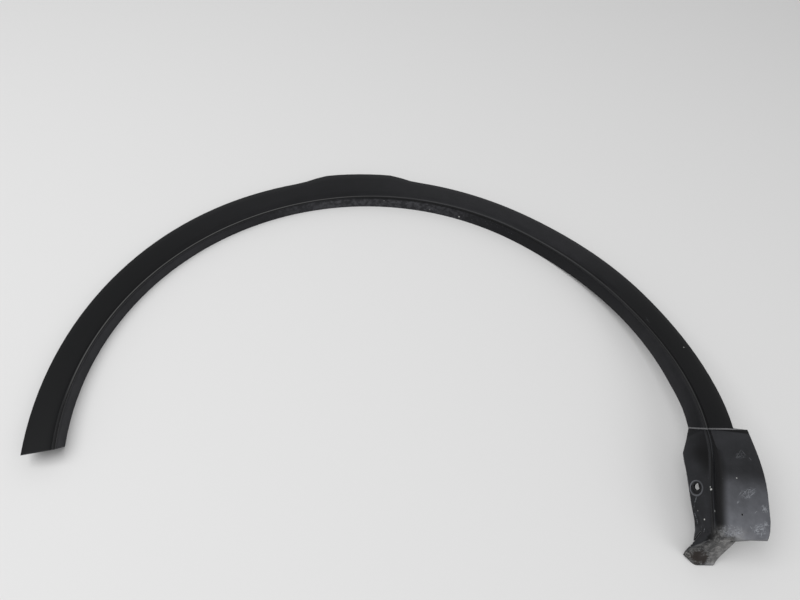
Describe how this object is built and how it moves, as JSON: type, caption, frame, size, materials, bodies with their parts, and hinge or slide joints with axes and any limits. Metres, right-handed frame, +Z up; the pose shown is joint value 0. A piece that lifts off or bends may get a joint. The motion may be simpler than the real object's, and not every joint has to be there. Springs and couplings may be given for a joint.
{
  "type": "fender moulding",
  "caption": "Wheel arch moulding: a curved band with a turned-down flange, ending in a wider foot with a screw boss and a short tongue.",
  "frame": {"origin": "middle of the part's outline seen from above, on the surface that the part lies on", "axes": "+X across the wheel opening from the plain end to the foot, +Y from the open side to the top of the arch, +Z up out of the show face"},
  "size_m": [0.879, 0.6216, 0.0766],
  "materials": {
    "moulding": "satin moulded black plastic, dusty and scuffed at the foot"
  },
  "bodies": {
    "root": {"arch_moulding": "moulding"}
  },
  "joints": []
}
